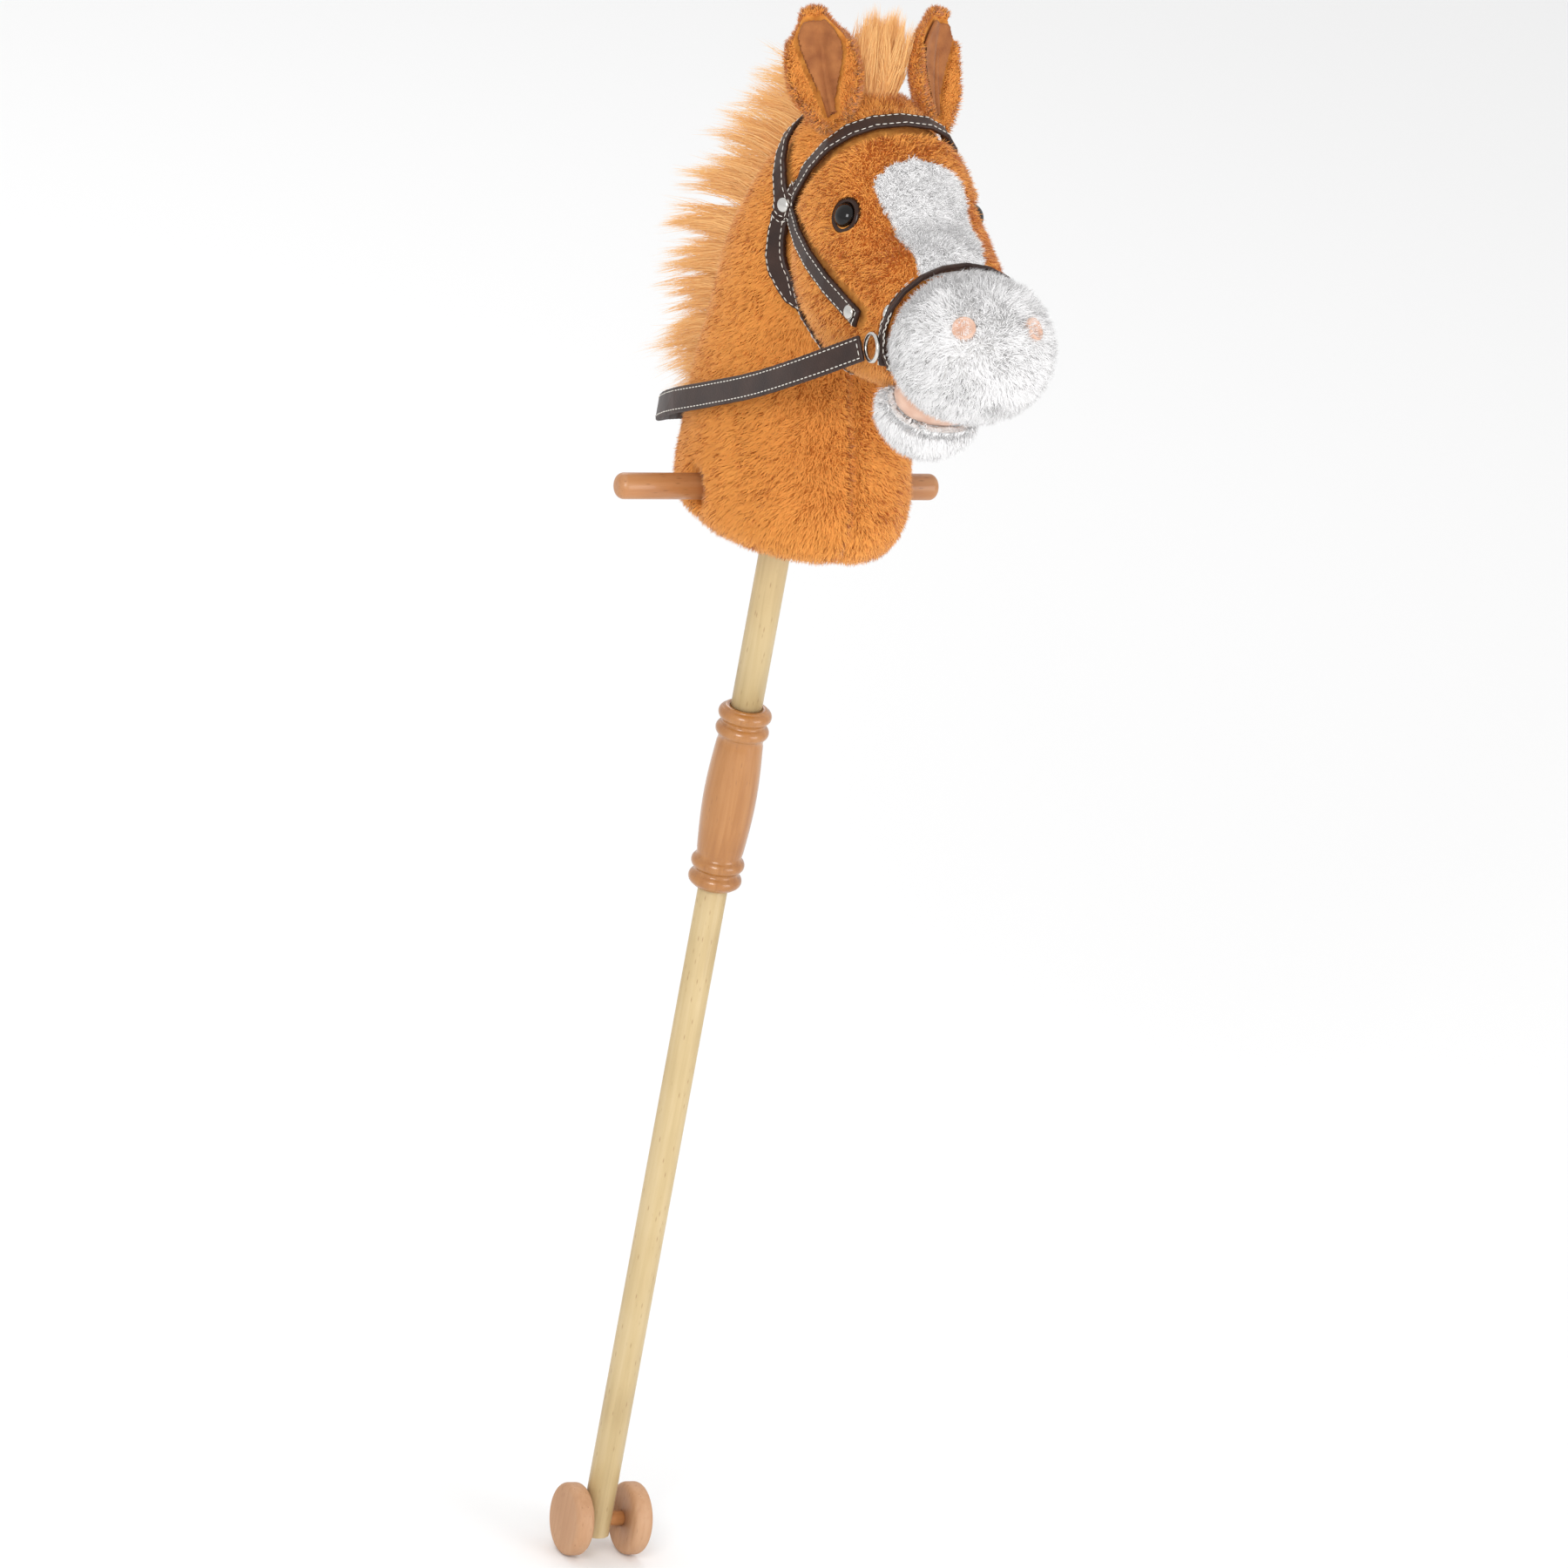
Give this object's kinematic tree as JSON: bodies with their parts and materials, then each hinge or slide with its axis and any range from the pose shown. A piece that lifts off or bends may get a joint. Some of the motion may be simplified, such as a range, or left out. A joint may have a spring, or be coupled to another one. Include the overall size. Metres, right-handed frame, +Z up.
{
  "type": "hobby horse",
  "caption": "Stick horse toy with a stuffed plush head, bridle and rein, a wooden cross handle, a pole with a turned grip that pulls apart, and a wheel pair at its foot.",
  "frame": {"origin": "centre of the flat foot of the pole, between the wheels", "axes": "+Z up along the pole to the head, -Y the way the horse faces, +X along the wheel axle to the right of someone who faces the horse; left and right in names are as that person sees them"},
  "size_m": [0.211, 0.3764, 1.0165],
  "materials": {
    "plush_orange": "long soft pile",
    "plush_white": "long soft pile",
    "velour_pink": "short nap",
    "suede_brown": "smooth suede cloth",
    "hair_golden": "long hair pile",
    "filling": "polyester fibre",
    "strap_brown": "satin, white stitching",
    "steel": "polished nickel",
    "eye_black": "glossy",
    "eye_rim": "glossy",
    "washer_white": "matt",
    "pine": "clear lacquer, fine grain",
    "beech_lacquered": "gloss lacquer",
    "beech": "satin"
  },
  "bodies": {
    "head": {"plush_side_left": "plush_orange", "plush_side_right": "plush_orange", "neck_base": "plush_orange", "stuffing": "filling", "blaze": "plush_white", "muzzle": "plush_white", "mouth_lining": "velour_pink", "chin": "plush_white", "nostril_left": "velour_pink", "nostril_right": "velour_pink", "ear_left": "plush_orange", "ear_right": "plush_orange", "ear_lining_left": "suede_brown", "ear_lining_right": "suede_brown", "mane": "hair_golden", "forelock": "hair_golden", "eye_left": "eye_black", "eye_right": "eye_black", "eye_rim_left": "eye_rim", "eye_rim_right": "eye_rim", "eye_washer_left": "washer_white", "eye_washer_right": "washer_white", "headpiece": "strap_brown", "browband": "strap_brown", "cheek_strap_left": "strap_brown", "cheek_strap_right": "strap_brown", "throatlatch": "strap_brown", "noseband": "strap_brown", "rivet_brow_left": "steel", "rivet_brow_right": "steel", "rivet_cheek_left": "steel", "rivet_cheek_right": "steel", "rivet_nose_left": "steel", "rivet_nose_right": "steel", "bit_ring_left": "steel", "bit_ring_right": "steel", "handle_left": "beech", "handle_right": "beech", "handle_collar_left": "beech_lacquered", "handle_collar_right": "beech_lacquered", "upper_pole": "pine", "grip": "beech_lacquered"},
    "pole": {"lower_pole": "pine"},
    "wheel_set": {"axle": "beech", "wheel_left": "beech", "wheel_right": "beech"},
    "rein": {"rein": "strap_brown"}
  },
  "joints": [
    {"name": "pole_pull", "type": "slide", "parent": "head", "child": "pole", "axis": [0, 0, -1], "range_m": [0, 0.05]},
    {"name": "wheel_roll", "type": "hinge", "parent": "pole", "child": "wheel_set", "pos_m": [0, 0, 0.0097], "axis": [1, 0, 0], "continuous": true},
    {"name": "rein_lift", "type": "hinge", "parent": "head", "child": "rein", "pos_m": [0, -0.168, 0.8465], "axis": [1, 0, 0], "range_deg": [0, 24]}
  ]
}
